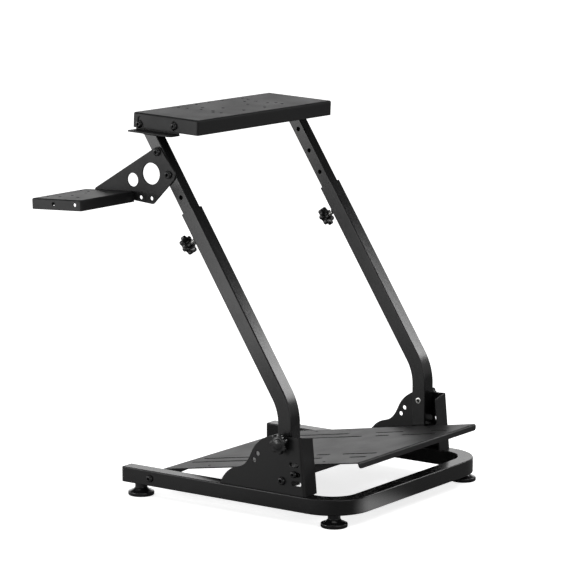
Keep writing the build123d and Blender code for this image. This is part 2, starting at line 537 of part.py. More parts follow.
pieces = {"base_frame": base_frame()}
pieces |= both_sides("end_cap", end_cap())
for end, (x, y) in FOOT_PLACES.items():
    pieces |= both_sides(f"{end}_foot", Pos(x, y, 0) * foot())
pieces |= both_sides("gusset", gusset())
pieces |= both_sides("pivot_bolt", pivot_bolt())
pieces |= both_sides("lock_knob", lock_knob())
pieces["pedal_plate"] = pedal_plate()
pieces["pedal_brace"] = pedal_brace()
pieces |= both_sides("pedal_spacer", pedal_spacer())
pieces |= both_sides("lower_upright", lower_upright())
pieces |= both_sides("height_stud", height_stud())
pieces |= both_sides("height_knob", height_knob())
pieces |= both_sides("upper_tube", upper_tube())
pieces |= both_sides("deck_bracket", deck_bracket())
pieces["wheel_deck"] = wheel_deck()
pieces["shifter_plate"] = shifter_plate()
pieces["shifter_tray"] = shifter_tray()

box = Compound(children=[Compound(piece.solids()) for piece in pieces.values()]).bounding_box()
TO_ORIGIN = Pos(-box.center().X, -box.center().Y, -box.min.Z)

os.makedirs("parts", exist_ok=True)
for node, piece in pieces.items():
    export_step(TO_ORIGIN * piece, f"parts/{node}.step")
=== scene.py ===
import json
from math import cos, pi, radians, sin, sqrt, tau

import bmesh
import bpy
from mathutils import Matrix, Quaternion, Vector


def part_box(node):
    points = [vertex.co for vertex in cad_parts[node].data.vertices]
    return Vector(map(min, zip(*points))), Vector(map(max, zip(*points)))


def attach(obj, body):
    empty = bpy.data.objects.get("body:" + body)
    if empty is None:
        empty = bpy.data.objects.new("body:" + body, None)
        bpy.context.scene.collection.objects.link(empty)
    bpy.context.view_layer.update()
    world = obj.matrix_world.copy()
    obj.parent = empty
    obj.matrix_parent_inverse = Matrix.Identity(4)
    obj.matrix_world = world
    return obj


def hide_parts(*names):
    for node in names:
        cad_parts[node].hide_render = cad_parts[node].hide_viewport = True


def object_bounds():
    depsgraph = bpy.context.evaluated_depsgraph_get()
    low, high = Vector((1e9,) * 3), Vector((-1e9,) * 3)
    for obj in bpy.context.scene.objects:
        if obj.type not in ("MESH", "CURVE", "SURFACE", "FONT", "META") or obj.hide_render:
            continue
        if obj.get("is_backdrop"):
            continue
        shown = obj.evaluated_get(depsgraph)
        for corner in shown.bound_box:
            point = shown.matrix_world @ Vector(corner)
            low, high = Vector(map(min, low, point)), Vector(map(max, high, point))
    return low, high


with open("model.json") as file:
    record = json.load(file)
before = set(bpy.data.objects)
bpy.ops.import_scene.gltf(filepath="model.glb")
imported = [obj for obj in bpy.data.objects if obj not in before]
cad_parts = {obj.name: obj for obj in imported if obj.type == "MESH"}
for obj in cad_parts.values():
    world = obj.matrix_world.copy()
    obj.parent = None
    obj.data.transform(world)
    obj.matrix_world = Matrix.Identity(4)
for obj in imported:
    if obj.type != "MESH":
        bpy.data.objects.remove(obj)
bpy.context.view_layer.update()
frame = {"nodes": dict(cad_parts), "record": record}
nodes = frame["nodes"]
record = frame["record"]
joint = {item["name"]: item for item in record["behaviour"]["joints"]}
mount = {item["name"]: item for item in record["mounts"]}

# Base tube
# One length of square steel tube, bent to a U with the mouth at the rear.
# It is powder coated satin black, a thin hard skin with a fine orange peel.
# The skin is glossier on the corners.
SATIN_BLACK = (0.0035, 0.0035, 0.0037, 1.0)


def link(tree, source, target):
    """Join two sockets of a node tree."""
    tree.links.new(source, target)


def put(tree, kind, **values):
    """Add a node and set its inputs, or its own settings, by name."""
    node = tree.nodes.new(kind)
    for key, value in values.items():
        label = key.replace("_", " ")
        if label in node.inputs:
            node.inputs[label].default_value = value
        else:
            setattr(node, key.lower(), value)
    return node


def new_group(name, inputs, outputs):
    """Start a shader node group with its sockets, and return it with its two end nodes."""
    group = bpy.data.node_groups.new(name, "ShaderNodeTree")
    for label, kind, value in inputs:
        socket = group.interface.new_socket(label, in_out="INPUT", socket_type=kind)
        socket.default_value = value
    for label, kind in outputs:
        group.interface.new_socket(label, in_out="OUTPUT", socket_type=kind)
    return group, group.nodes.new("NodeGroupInput"), group.nodes.new("NodeGroupOutput")


def make_skin():
    """A thin skin: colour that drifts a little, glossier corners and a fine grain."""
    group, given, made = new_group(
        "skin",
        [
            ("Colour", "NodeSocketColor", SATIN_BLACK),
            ("Roughness", "NodeSocketFloat", 0.4),
            ("Corner Gloss", "NodeSocketFloat", 0.75),
            ("Corner Width", "NodeSocketFloat", 0.0016),
            ("Grain Scale", "NodeSocketFloat", 900.0),
            ("Drift", "NodeSocketFloat", 0.2),
        ],
        [
            ("Colour", "NodeSocketColor"),
            ("Roughness", "NodeSocketFloat"),
            ("Height", "NodeSocketFloat"),
            ("Normal", "NodeSocketVector"),
        ],
    )
    place = put(group, "ShaderNodeTexCoord")
    grain = put(group, "ShaderNodeTexNoise", Detail=2.0)
    link(group, place.outputs["Object"], grain.inputs["Vector"])
    link(group, given.outputs["Grain Scale"], grain.inputs["Scale"])
    link(group, grain.outputs["Fac"], made.inputs["Height"])
    cloud = put(group, "ShaderNodeTexNoise", Scale=14.0, Detail=4.0, Roughness=0.6)
    link(group, place.outputs["Object"], cloud.inputs["Vector"])
    corner = put(group, "ShaderNodeBevel", samples=4)
    link(group, given.outputs["Corner Width"], corner.inputs["Radius"])
    link(group, corner.outputs["Normal"], made.inputs["Normal"])
    face = put(group, "ShaderNodeNewGeometry")
    facing_same = put(group, "ShaderNodeVectorMath", operation="DOT_PRODUCT")
    link(group, corner.outputs["Normal"], facing_same.inputs[0])
    link(group, face.outputs["True Normal"], facing_same.inputs[1])
    worn = put(group, "ShaderNodeMapRange", From_Min=1.0, From_Max=0.8, To_Min=0.0, To_Max=1.0)
    link(group, facing_same.outputs["Value"], worn.inputs["Value"])
    centred = put(group, "ShaderNodeMapRange", To_Min=-1.0, To_Max=1.0)
    link(group, cloud.outputs["Fac"], centred.inputs["Value"])
    drift = put(group, "ShaderNodeMath", operation="MULTIPLY_ADD")
    link(group, centred.outputs["Result"], drift.inputs[0])
    link(group, given.outputs["Drift"], drift.inputs[1])
    drift.inputs[2].default_value = 1.0
    shade = put(group, "ShaderNodeVectorMath", operation="SCALE")
    link(group, given.outputs["Colour"], shade.inputs[0])
    link(group, drift.outputs["Value"], shade.inputs["Scale"])
    link(group, shade.outputs["Vector"], made.inputs["Colour"])
    gloss = put(group, "ShaderNodeMix", data_type="FLOAT")
    link(group, worn.outputs["Result"], gloss.inputs["Factor"])
    gloss.inputs[2].default_value = 1.0
    link(group, given.outputs["Corner Gloss"], gloss.inputs[3])
    level = put(group, "ShaderNodeMath", operation="MULTIPLY")
    link(group, given.outputs["Roughness"], level.inputs[0])
    link(group, gloss.outputs[0], level.inputs[1])
    spread = put(group, "ShaderNodeMath", operation="MULTIPLY")
    link(group, level.outputs["Value"], spread.inputs[0])
    link(group, drift.outputs["Value"], spread.inputs[1])
    link(group, spread.outputs["Value"], made.inputs["Roughness"])
    return group


skin = make_skin()


def finish_coat(
    name,
    colour,
    roughness,
    specular,
    grain_scale,
    grain_depth,
    metallic=0.0,
    drift=0.2,
    corner=0.0012,
):
    """A material with the skin on it; the grain's depth and the corners' width are in metres."""
    material = bpy.data.materials.new(name)
    material.use_nodes = True
    tree = material.node_tree
    shader = tree.nodes["Principled BSDF"]
    shader.inputs["Specular IOR Level"].default_value = specular
    shader.inputs["Metallic"].default_value = metallic
    coat = tree.nodes.new("ShaderNodeGroup")
    coat.node_tree = skin
    coat.inputs["Colour"].default_value = colour
    coat.inputs["Roughness"].default_value = roughness
    coat.inputs["Grain Scale"].default_value = grain_scale
    coat.inputs["Drift"].default_value = drift
    coat.inputs["Corner Width"].default_value = corner
    bump = put(tree, "ShaderNodeBump", Strength=0.6, Distance=grain_depth)
    link(tree, coat.outputs["Height"], bump.inputs["Height"])
    link(tree, coat.outputs["Normal"], bump.inputs["Normal"])
    link(tree, bump.outputs["Normal"], shader.inputs["Normal"])
    link(tree, coat.outputs["Colour"], shader.inputs["Base Color"])
    link(tree, coat.outputs["Roughness"], shader.inputs["Roughness"])
    return material


def dress(material, *names):
    """Give CAD nodes a finish."""
    for name in names:
        nodes[name].data.materials.clear()
        nodes[name].data.materials.append(material)


tube_coat = finish_coat(
    "tube_coat",
    SATIN_BLACK,
    roughness=0.25,
    specular=0.5,
    grain_scale=700.0,
    grain_depth=0.00004,
    corner=0.0014,
)
dress(tube_coat, "base_frame")

# End caps
# Moulded plastic plugs pressed into the rear ends of the base tube, with a thin rounded rim.
# The plastic is plain matte black with a fine spark-eroded grain.
CAP_BLACK = (0.012, 0.012, 0.0125, 1.0)
cap_plastic = finish_coat(
    "cap_plastic",
    CAP_BLACK,
    roughness=0.48,
    specular=0.45,
    grain_scale=2200.0,
    grain_depth=0.00003,
)
dress(cap_plastic, "end_cap_right", "end_cap_left")

# Levelling feet
# Four flared feet moulded in hard black plastic round a steel stud that screws up into the tube.
# They are polished in the mould, so the necks carry soft highlights.
FOOT_BLACK = (0.006, 0.006, 0.0064, 1.0)
foot_plastic = finish_coat(
    "foot_plastic",
    FOOT_BLACK,
    roughness=0.16,
    specular=0.5,
    grain_scale=1600.0,
    grain_depth=0.00001,
)
dress(foot_plastic, "rear_foot_right", "rear_foot_left", "front_foot_right", "front_foot_left")

# Gussets
# Heavy sheet cut to an S-shaped rear edge, its front edge folded inwards, welded on top of the arms.
# All sheet parts have a matte, finely textured powder coat. The welds run inside and behind the fold.
SIDES = (("right", 1), ("left", -1))
middle = mount["wheel_bolts_wide"]["pos_m"][0]
base_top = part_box("gusset_right")[0].z
gusset_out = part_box("gusset_right")[1].x - middle
GUSSET_SHEET = 0.003
GUSSET_FLANGE = 0.0385
GUSSET_WELD = 0.0017
SIDE_WELD_INSET, FOLD_WELD_INSET, FLANGE_WELD_INSET = 0.008, 0.006, 0.004
BEAD_STEP, BEAD_DIP, BEAD_END, BEAD_SIDES = 0.6, 0.86, 0.7, 10
SHEET_BLACK = (0.004, 0.004, 0.0043, 1.0)
sheet_coat = finish_coat(
    "sheet_coat",
    SHEET_BLACK,
    roughness=0.48,
    specular=0.35,
    grain_scale=1300.0,
    grain_depth=0.00006,
    corner=0.0018,
)
dress(sheet_coat, "gusset_right", "gusset_left")


def facing(place, direction):
    """Matrix that turns local +Z to a direction and moves it to a place."""
    return Matrix.Translation(place) @ Vector(direction).to_track_quat("Z", "Y").to_matrix().to_4x4()


def weld_bead(mesh, start, end, radius):
    """A rippled bead from one point to another."""
    start, end = Vector(start), Vector(end)
    count = max(4, round((end - start).length / (BEAD_STEP * radius)))
    last = None
    for number in range(count + 1):
        at_end = number in (0, count)
        swell = radius * (1.0 if number % 2 else BEAD_DIP) * (BEAD_END if at_end else 1.0)
        ring = bmesh.ops.create_circle(
            mesh,
            cap_ends=at_end,
            segments=BEAD_SIDES,
            radius=swell,
            matrix=facing(start.lerp(end, number / count), end - start),
        )["verts"]
        edges = list({edge for vert in ring for edge in vert.link_edges})
        if last:
            bmesh.ops.bridge_loops(mesh, edges=last + edges)
        last = edges


def piece(mesh, name, material, body, crease=32.0):
    """Finish a mesh as a piece that rides on a body."""
    bmesh.ops.recalc_face_normals(mesh, faces=mesh.faces)
    data = bpy.data.meshes.new(name)
    mesh.to_mesh(data)
    mesh.free()
    data.shade_smooth()
    data.set_sharp_from_angle(angle=radians(crease))
    data.materials.append(material)
    made = bpy.data.objects.new(name, data)
    bpy.context.scene.collection.objects.link(made)
    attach(made, body)
    return made


for side, sign in SIDES:
    low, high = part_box(f"gusset_{side}")
    inner = middle + sign * (gusset_out - GUSSET_SHEET)
    flange_end = middle + sign * (gusset_out - GUSSET_FLANGE)
    rear_of_flange = high.y - GUSSET_SHEET
    welds = bmesh.new()
    weld_bead(
        welds,
        (inner, low.y + SIDE_WELD_INSET, base_top),
        (inner, high.y - SIDE_WELD_INSET, base_top),
        GUSSET_WELD,
    )
    weld_bead(
        welds,
        (inner - sign * FOLD_WELD_INSET, rear_of_flange, base_top),
        (flange_end + sign * FLANGE_WELD_INSET, rear_of_flange, base_top),
        GUSSET_WELD,
    )
    piece(welds, f"gusset_weld_{side}", sheet_coat, "base")

# Fold bolts
# Black button-head bolts with a hexagon socket, each through a gusset and an upright's foot to a nut.
# A nylon spacer fills the gap between the gusset and the tube.
FOLD_BOLT = {"head": 0.016, "rise": 0.0055, "socket": 0.006, "shank": 0.0099, "length": 0.0465}
FOLD_NUT = {"width": 0.017, "height": 0.008, "bore": 0.0098}
FOLD_NUT_GAP = 0.0005
SPACER_OUTER, SPACER_BORE, SPACER_PLAY = 0.024, 0.0102, 0.0002
ARC_STEPS = 8
BOLT_LIP = 0.0004
SOCKET_MOUTH, SOCKET_DEPTH = 0.6, 0.7
NUT_CHAMFER, BORE_SIDES = 0.0008, 30
BOLT_BLACK = (0.005, 0.005, 0.0054, 1.0)
NYLON_BLACK = (0.016, 0.016, 0.017, 1.0)
black_bolt = finish_coat(
    "black_bolt",
    BOLT_BLACK,
    roughness=0.26,
    specular=0.45,
    grain_scale=1800.0,
    grain_depth=0.00002,
)
nylon = finish_coat(
    "nylon",
    NYLON_BLACK,
    roughness=0.5,
    specular=0.4,
    grain_scale=1500.0,
    grain_depth=0.00003,
)


def lathe(mesh, profile, closed=False, segments=40):
    """Turn a profile of (radius, height) points about local Z, and return the new points."""
    before = set(mesh.verts)
    line = [mesh.verts.new((radius, 0.0, height)) for radius, height in profile]
    pairs = list(zip(line, line[1:] + line[:1] if closed else line[1:]))
    edges = [mesh.edges.new(pair) for pair in pairs]
    bmesh.ops.spin(
        mesh,
        geom=line + edges,
        cent=(0, 0, 0),
        axis=(0, 0, 1),
        dvec=(0, 0, 0),
        angle=tau,
        steps=segments,
        use_merge=True,
    )
    bmesh.ops.remove_doubles(mesh, verts=[v for v in mesh.verts if v not in before], dist=1e-6)
    return [v for v in mesh.verts if v not in before]


def button_bolt(mesh, head, rise, socket, shank, length):
    """Bolt with a domed head and a hexagon socket, its seat at z = 0 and its shank downwards."""
    rim, mouth, core, lip = head / 2, socket * SOCKET_MOUTH, shank / 2, BOLT_LIP
    profile = [
        (0, -length),
        (core - lip, -length),
        (core, lip - length),
        (core, 0),
        (rim - lip, 0),
        (rim, lip),
    ]
    for step in range(1, ARC_STEPS + 1):
        turn = step / ARC_STEPS * pi / 2
        profile.append((mouth + (rim - mouth) * cos(turn), 2 * lip + (rise - 2 * lip) * sin(turn)))
    made = lathe(mesh, profile)
    top = [v for v in made if v.co.z > rise - 1e-6]
    ring = list({e for v in top for e in v.link_edges if e.is_boundary})
    hexagon = bmesh.ops.create_circle(
        mesh,
        cap_ends=False,
        segments=6,
        radius=socket / sqrt(3),
        matrix=Matrix.Translation((0, 0, rise - lip)),
    )["verts"]
    sides = list({e for v in hexagon for e in v.link_edges})
    bmesh.ops.bridge_loops(mesh, edges=ring + sides)
    walls = bmesh.ops.extrude_edge_only(mesh, edges=sides)["geom"]
    floor_points = [g for g in walls if isinstance(g, bmesh.types.BMVert)]
    bmesh.ops.translate(mesh, verts=floor_points, vec=(0, 0, -SOCKET_DEPTH * rise))
    bmesh.ops.contextual_create(mesh, geom=[g for g in walls if isinstance(g, bmesh.types.BMEdge)])


def hex_nut(mesh, width, height, bore, face):
    """Hexagon nut whose upper face is at a height, with its bore and chamfered rims."""
    loops = []
    for segments, radius in ((6, width / sqrt(3)), (BORE_SIDES, bore / 2)):
        ring = bmesh.ops.create_circle(
            mesh,
            cap_ends=False,
            segments=segments,
            radius=radius,
            matrix=Matrix.Translation((0, 0, face)),
        )["verts"]
        upper = list({e for v in ring for e in v.link_edges})
        walls = bmesh.ops.extrude_edge_only(mesh, edges=upper)["geom"]
        lower_points = [g for g in walls if isinstance(g, bmesh.types.BMVert)]
        bmesh.ops.translate(mesh, verts=lower_points, vec=(0, 0, -height))
        loops.append((upper, [g for g in walls if isinstance(g, bmesh.types.BMEdge)]))
    for outer, inner_ring in zip(*loops):
        bmesh.ops.bridge_loops(mesh, edges=outer + inner_ring)
    bmesh.ops.bevel(
        mesh,
        geom=loops[0][0] + loops[0][1],
        offset=NUT_CHAMFER,
        offset_type="OFFSET",
        segments=2,
        profile=0.5,
        affect="EDGES",
        material=-1,
    )


def washer(mesh, outer, bore, thickness, face):
    """Flat washer whose lower face is at a height, with softened rims."""
    edge = thickness / 4
    lathe(
        mesh,
        [
            (bore / 2, face),
            (outer / 2 - edge, face),
            (outer / 2, face + edge),
            (outer / 2, face + thickness - edge),
            (outer / 2 - edge, face + thickness),
            (bore / 2, face + thickness),
        ],
        closed=True,
    )


def place_bolt(mesh, place, direction):
    """Put a bolt or another turned piece, made at the origin, where it belongs."""
    bmesh.ops.transform(mesh, matrix=facing(place, direction), verts=mesh.verts)


fold = Vector(joint["upright_fold"]["pos_m"])
for side, sign in SIDES:
    seat = Vector((middle + sign * gusset_out, fold.y, fold.z))
    low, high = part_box(f"lower_upright_{side}")
    tube_face = high.x if sign > 0 else low.x
    tube_width = high.x - low.x
    gap = abs(seat.x - tube_face) - GUSSET_SHEET
    bolt = bmesh.new()
    button_bolt(bolt, **FOLD_BOLT)
    hex_nut(bolt, face=-(GUSSET_SHEET + gap + tube_width + FOLD_NUT_GAP), **FOLD_NUT)
    place_bolt(bolt, seat, (sign, 0, 0))
    fold_bolt = piece(bolt, f"fold_bolt_{side}", black_bolt, "base")
    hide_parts(f"pivot_bolt_{side}")
    spacer = bmesh.new()
    spacer_face = -(GUSSET_SHEET + gap - SPACER_PLAY)
    washer(spacer, SPACER_OUTER, SPACER_BORE, gap - 2 * SPACER_PLAY, spacer_face)
    place_bolt(spacer, seat, (sign, 0, 0))
    piece(spacer, f"fold_spacer_{side}", nylon, "base")

# Uprights
# Square tube bent back above the gussets, open at the top for the sliding tube, with a weld nut behind.
# A plated rivet nut is set in the inner wall where the lock screw ends.
RIVET_NUT = (
    (0.0032, 0.0008),
    (0.0052, 0.0008),
    (0.0062, 0.0004),
    (0.0062, 0.0),
    (0.0043, -0.0001),
    (0.0043, -0.011),
    (0.0032, -0.011),
)
NUT_WELD, NUT_WELD_RING, NUT_WELD_SIDES = 0.0012, 0.0078, 12
ZINC_GREY = (0.62, 0.62, 0.6, 1.0)
zinc = finish_coat(
    "zinc",
    ZINC_GREY,
    roughness=0.26,
    specular=0.5,
    grain_scale=1400.0,
    grain_depth=0.00003,
    metallic=1.0,
    drift=0.12,
)
dress(tube_coat, "lower_upright_right", "lower_upright_left")
clamp = {side: joint[f"{side}_height_knob_turn"] for side, sign in SIDES}
for side, sign in SIDES:
    lock = Vector(joint[f"{side}_lock_knob_turn"]["pos_m"])
    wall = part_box(f"lower_upright_{side}")[0 if sign > 0 else 1].x
    rivet = bmesh.new()
    lathe(rivet, RIVET_NUT, closed=True)
    place_bolt(rivet, (wall, lock.y, lock.z), (-sign, 0, 0))
    piece(rivet, f"rivet_nut_{side}", zinc, "uprights")
    nut_seat = facing(clamp[side]["pos_m"], clamp[side]["axis"])
    turns = [number / NUT_WELD_SIDES * tau for number in range(NUT_WELD_SIDES + 1)]
    ring = [nut_seat @ Vector((NUT_WELD_RING * cos(turn), NUT_WELD_RING * sin(turn), 0)) for turn in turns]
    nut_weld = bmesh.new()
    for first, second in zip(ring, ring[1:]):
        weld_bead(nut_weld, first, second, NUT_WELD)
    piece(nut_weld, f"nut_weld_{side}", tube_coat, "uprights")

# Lock knobs
# Seven-lobed star knobs moulded in glossy black plastic on a steel screw, outside each gusset.
# The hub is domed. Drawn out, the knobs let the uprights fold.
HUB_RISE, HUB_RADIUS, HUB_SKIRT = 0.0025, 0.0095, 0.0008
HUB_CURVE = (HUB_RADIUS**2 + HUB_RISE**2) / (2 * HUB_RISE)
HUB_STUB = 0.05 * HUB_RISE
KNOB_BLACK = (0.0035, 0.0035, 0.0038, 1.0)
knob_plastic = finish_coat(
    "knob_plastic",
    KNOB_BLACK,
    roughness=0.24,
    specular=0.5,
    grain_scale=1500.0,
    grain_depth=0.00001,
)


def domed_knob(node, top, direction, body):
    """Star knob with its flat hub cut off and a dome of the same height in its place."""
    direction = Vector(direction)
    seat = Vector(top) - HUB_RISE * direction
    knob = bmesh.new()
    knob.from_mesh(nodes[node].data)
    bmesh.ops.remove_doubles(knob, verts=knob.verts, dist=1e-6)
    cut = bmesh.ops.bisect_plane(
        knob,
        geom=knob.verts[:] + knob.edges[:] + knob.faces[:],
        plane_co=seat + HUB_STUB * direction,
        plane_no=direction,
        clear_outer=True,
    )["geom_cut"]
    bmesh.ops.holes_fill(knob, edges=[g for g in cut if isinstance(g, bmesh.types.BMEdge)])
    profile = [(0, -HUB_SKIRT), (HUB_RADIUS, -HUB_SKIRT)]
    for step in range(ARC_STEPS + 1):
        radius = HUB_RADIUS * (1 - step / ARC_STEPS)
        profile.append((radius, HUB_RISE - HUB_CURVE + sqrt(HUB_CURVE**2 - radius**2)))
    dome = lathe(knob, profile)
    bmesh.ops.transform(knob, matrix=facing(seat, direction), verts=dome)
    made = piece(knob, f"domed_{node}", knob_plastic, body)
    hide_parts(node)


for side, sign in SIDES:
    top = Vector(joint[f"{side}_lock_knob_turn"]["pos_m"])
    top.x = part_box(f"lock_knob_{side}")[1 if sign > 0 else 0].x
    domed_knob(f"lock_knob_{side}", top, (sign, 0, 0), f"{side}_lock_knob")

# Pedal plate
# Slotted sheet with a folded lip, hung on two bolts through the arms and resting on a square cross tube.
# The cross tube is bolted through the middle one of three slots in each gusset.
PEDAL_BOLT = {"head": 0.0145, "rise": 0.0052, "socket": 0.005, "shank": 0.008, "length": 0.012}
BRACE_BOLT = {"head": 0.0135, "rise": 0.005, "socket": 0.005, "shank": 0.008, "length": 0.0085}
dress(sheet_coat, "pedal_plate")
dress(tube_coat, "pedal_brace")
dress(zinc, "pedal_spacer_right", "pedal_spacer_left")
arm_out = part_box("base_frame")[1].x - middle
pivot = sum(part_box("pedal_spacer_right"), Vector()) / 2
brace = sum(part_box("pedal_brace"), Vector()) / 2
for side, sign in SIDES:
    bolt = bmesh.new()
    button_bolt(bolt, **PEDAL_BOLT)
    place_bolt(bolt, (middle + sign * arm_out, pivot.y, pivot.z), (sign, 0, 0))
    piece(bolt, f"pedal_bolt_{side}", black_bolt, "base")
    bolt = bmesh.new()
    button_bolt(bolt, **BRACE_BOLT)
    place_bolt(bolt, (middle + sign * gusset_out, brace.y, brace.z), (sign, 0, 0))
    piece(bolt, f"brace_bolt_{side}", black_bolt, "base")

# Upper tubes
# Smaller square tubes that slide in the uprights, drilled for the shifter plate.
# Same coat as the uprights.
dress(tube_coat, "upper_tube_right", "upper_tube_left")

# Height clamps
# Star knobs on bright threaded studs, screwed through the weld nuts against the sliding tubes.
# The thread shows between the knob and the tube.
STUD_ROOT, STUD_CREST, STUD_PITCH, STUD_SIDES = 0.0033, 0.0039, 0.00125, 28
STUD_START, STUD_END = -0.0022, 0.0195
KNOB_OUT = 0.0345
for side, sign in SIDES:
    profile = [(0, STUD_START), (STUD_ROOT, STUD_START)]
    height = STUD_START + STUD_PITCH / 4
    while height < STUD_END - STUD_PITCH:
        profile += [
            (STUD_ROOT, height),
            (STUD_CREST, height + 0.4 * STUD_PITCH),
            (STUD_CREST, height + 0.6 * STUD_PITCH),
        ]
        height += STUD_PITCH
    profile += [(STUD_ROOT, STUD_END), (0, STUD_END)]
    root, outwards = Vector(clamp[side]["pos_m"]), Vector(clamp[side]["axis"])
    screw = bmesh.new()
    lathe(screw, profile, segments=STUD_SIDES)
    place_bolt(screw, root, outwards)
    stud = piece(screw, f"clamp_screw_{side}", zinc, f"{side}_height_knob")
    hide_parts(f"height_stud_{side}")
    domed_knob(f"height_knob_{side}", root + KNOB_OUT * outwards, outwards, f"{side}_height_knob")

# Deck brackets
# Heavy angle brackets welded on the cut tops of the upper tubes.
# A bead runs round each tube under the bracket's seat.
HEAD_UP = Vector(mount["wheel_bolts_wide"]["axis"])
HEAD_FORWARD = HEAD_UP.cross(Vector((1, 0, 0)))
DECK_TOP, DECK_AHEAD, DECK_HALF = 0.0346, 0.0196, 0.217
UPPER_HALF = 0.0125
BRACKET_WELD = 0.0014
tube_top = Vector(mount["wheel_bolts_wide"]["pos_m"]) - HEAD_UP * DECK_TOP - HEAD_FORWARD * DECK_AHEAD
slide = Vector(joint["height_slide"]["axis"])
dress(sheet_coat, "deck_bracket_right", "deck_bracket_left")
reach = UPPER_HALF / HEAD_FORWARD.dot(slide.cross(Vector((1, 0, 0))))
for side, sign in SIDES:
    tube_x = sum(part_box(f"upper_tube_{side}"), Vector()).x / 2
    ring = []
    for across, along in ((-1, -1), (1, -1), (1, 1), (-1, 1)):
        side_point = Vector((tube_x + across * UPPER_HALF, tube_top.y, tube_top.z))
        ring.append(side_point + HEAD_FORWARD * along * reach)
    welds = bmesh.new()
    for first, second in zip(ring, ring[1:] + ring[:1]):
        weld_bead(welds, first, second, BRACKET_WELD)
    piece(welds, f"bracket_weld_{side}", sheet_coat, "wheel_mount")

# Wheel deck
# A pan folded from sheet, open below, with a field of holes for steering wheels of different makes.
# Two bolts through upright slots in each side hold it to the brackets, the front ones set higher.
DECK_BOLT = {"head": 0.0145, "rise": 0.005, "socket": 0.005, "shank": 0.0062, "length": 0.0125}
DECK_NUT = {"width": 0.0105, "height": 0.005, "bore": 0.0061, "face": -0.005}
DECK_BOLT_PLACES = (("rear", -0.0415, 0.013), ("front", 0.0405, 0.018))
dress(sheet_coat, "wheel_deck")
for side, sign in SIDES:
    for end, ahead, rise in DECK_BOLT_PLACES:
        place = tube_top + HEAD_FORWARD * ahead + HEAD_UP * rise
        place.x = middle + sign * DECK_HALF
        bolt = bmesh.new()
        button_bolt(bolt, **DECK_BOLT)
        hex_nut(bolt, **DECK_NUT)
        place_bolt(bolt, place, (sign, 0, 0))
        piece(bolt, f"deck_bolt_{end}_{side}", black_bolt, "wheel_mount")

# Shifter plate
# Heavy plate with two lightening holes, bolted flat on the outside of the right upper tube.
# Two button-head bolts go through the tube's upper holes to nuts on its inner side.
PLATE_BOLT = {"head": 0.0155, "rise": 0.0055, "socket": 0.006, "shank": 0.008, "length": 0.035}
PLATE_NUT = {"width": 0.013, "height": 0.0065, "bore": 0.0079}
PLATE_SHEET = 0.003
HOLE_FIRST, HOLE_PITCH = 0.0368, 0.0485
dress(sheet_coat, "shifter_plate")
plate_low, plate_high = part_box("shifter_plate")
for number, name in enumerate(("upper", "lower")):
    place = tube_top - slide * (HOLE_FIRST + number * HOLE_PITCH)
    place.x = plate_high.x
    bolt = bmesh.new()
    button_bolt(bolt, **PLATE_BOLT)
    hex_nut(bolt, face=-(PLATE_SHEET + 2 * UPPER_HALF), **PLATE_NUT)
    place_bolt(bolt, place, (1, 0, 0))
    piece(bolt, f"plate_bolt_{name}", black_bolt, "wheel_mount")

# Shifter tray
# A shallow pan folded from sheet, open below, bolted by its inner end to the shifter plate.
# Two small bolts come through from the plate's inner face, with nuts inside the pan.
TRAY_BOLT = {"head": 0.0085, "rise": 0.003, "socket": 0.003, "shank": 0.005, "length": 0.0105}
TRAY_NUT = {"width": 0.008, "height": 0.004, "bore": 0.0049, "face": -0.005}
TRAY_BOLT_PLACES = (("front", 0.05), ("rear", 0.033))
TRAY_BOLT_DROP = 0.0078
dress(sheet_coat, "shifter_tray")
tray = Vector(mount["shifter_bolts"]["pos_m"])
tray_up = Vector(mount["shifter_bolts"]["axis"])
tray_forward = tray_up.cross(Vector((1, 0, 0)))
for name, ahead in TRAY_BOLT_PLACES:
    place = tray + tray_forward * ahead - tray_up * TRAY_BOLT_DROP
    place.x = plate_low.x
    bolt = bmesh.new()
    button_bolt(bolt, **TRAY_BOLT)
    hex_nut(bolt, **TRAY_NUT)
    place_bolt(bolt, place, (-1, 0, 0))
    piece(bolt, f"tray_bolt_{name}", black_bolt, "wheel_mount")

# Studio floor
# A wide pale floor that runs on out of sight; the eye sees it as white with a faint shadow.
# In mirrored light its colour is painted darker as shade, less so to the right, with a painted pool of
# light glowing in front of the stand.
FLOOR_HALF = 30.0
FLOOR_GREY = (0.8, 0.8, 0.8, 1.0)
FLOOR_GLOW = 0.76
# Centre of the painted pool of light on the floor.
PAINTED_POOL = (0.0, 0.40, 0.0)
TO_RIGHT = (0.82, -0.57, 0.0)
floor_mesh = bmesh.new()
bmesh.ops.create_grid(floor_mesh, x_segments=1, y_segments=1, size=FLOOR_HALF)
floor_data = bpy.data.meshes.new("floor")
floor_mesh.to_mesh(floor_data)
floor_mesh.free()
floor = bpy.data.objects.new("floor", floor_data)
bpy.context.scene.collection.objects.link(floor)
floor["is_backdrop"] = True
floor_paint = bpy.data.materials.new("floor_paint")
floor_paint.use_nodes = True
floor_tree = floor_paint.node_tree
floor_shader = floor_tree.nodes["Principled BSDF"]
floor_shader.inputs["Roughness"].default_value = 0.9
floor_shader.inputs["Specular IOR Level"].default_value = 0.0
floor_shader.inputs["Emission Color"].default_value = (1, 1, 1, 1)
floor_path = put(floor_tree, "ShaderNodeLightPath")
floor_place = put(floor_tree, "ShaderNodeTexCoord")
rightwards = put(floor_tree, "ShaderNodeVectorMath", operation="DOT_PRODUCT")
rightwards.inputs[1].default_value = TO_RIGHT
link(floor_tree, floor_place.outputs["Object"], rightwards.inputs[0])
# Painted shade: the floor's colour seen in mirrored light is dark, getting lighter towards the right.
painted_floor_shade = put(floor_tree, "ShaderNodeMapRange", From_Min=0.0, From_Max=0.35, To_Min=0.18, To_Max=0.5)
link(floor_tree, rightwards.outputs["Value"], painted_floor_shade.inputs["Value"])
floor_colour = put(floor_tree, "ShaderNodeMix", data_type="RGBA")
link(floor_tree, floor_path.outputs["Is Glossy Ray"], floor_colour.inputs["Factor"])
floor_colour.inputs[6].default_value = FLOOR_GREY
